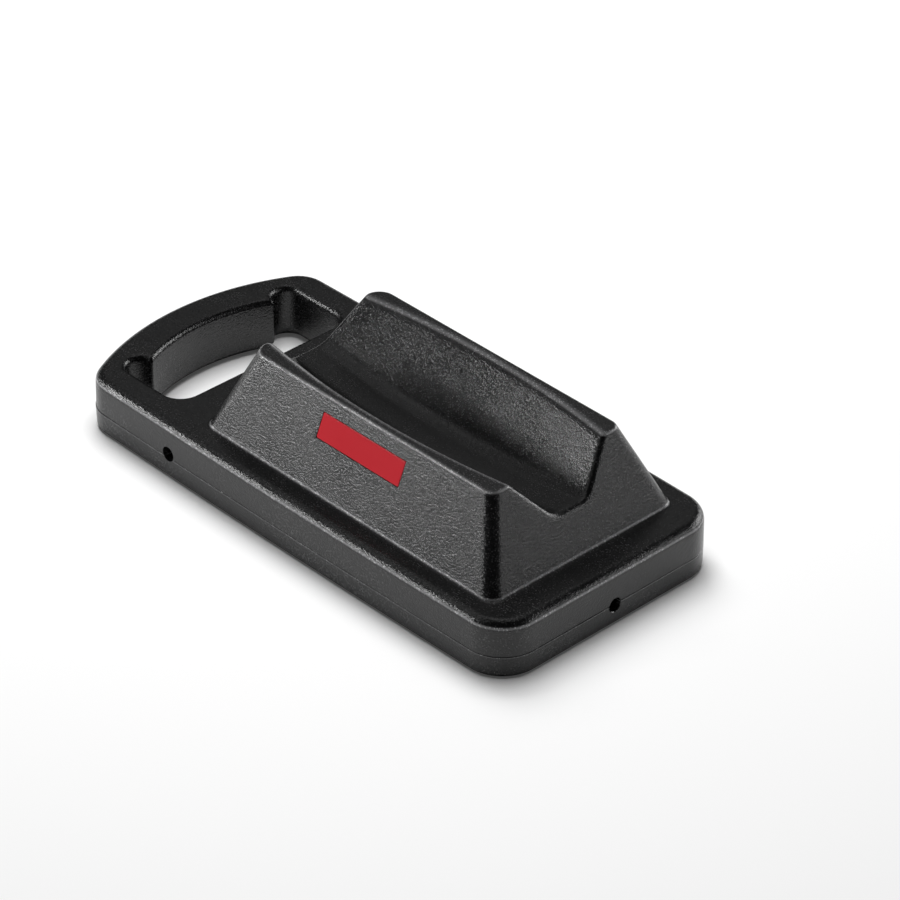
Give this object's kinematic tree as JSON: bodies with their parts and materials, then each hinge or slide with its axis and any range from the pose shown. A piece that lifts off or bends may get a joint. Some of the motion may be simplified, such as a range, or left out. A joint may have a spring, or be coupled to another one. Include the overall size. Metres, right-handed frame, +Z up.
{
  "type": "bike wheel riser block",
  "caption": "Wheel riser block with a curved wheel trough along a raised saddle, on a rounded base plate with a carry handle cut through one end.",
  "frame": {"origin": "middle of the underside, on the floor", "axes": "+X along the block towards its straight front end, away from the carry handle; +Z up; +Y across the block, away from the side with the label"},
  "size_m": [0.2824, 0.1332, 0.0667],
  "materials": {
    "shell_plastic": "black polyethylene with a fine pebble grain",
    "label_print": "red printed film, without lettering"
  },
  "bodies": {
    "root": {"upper_shell": "shell_plastic", "lower_shell": "shell_plastic", "side_label": "label_print"}
  },
  "joints": []
}
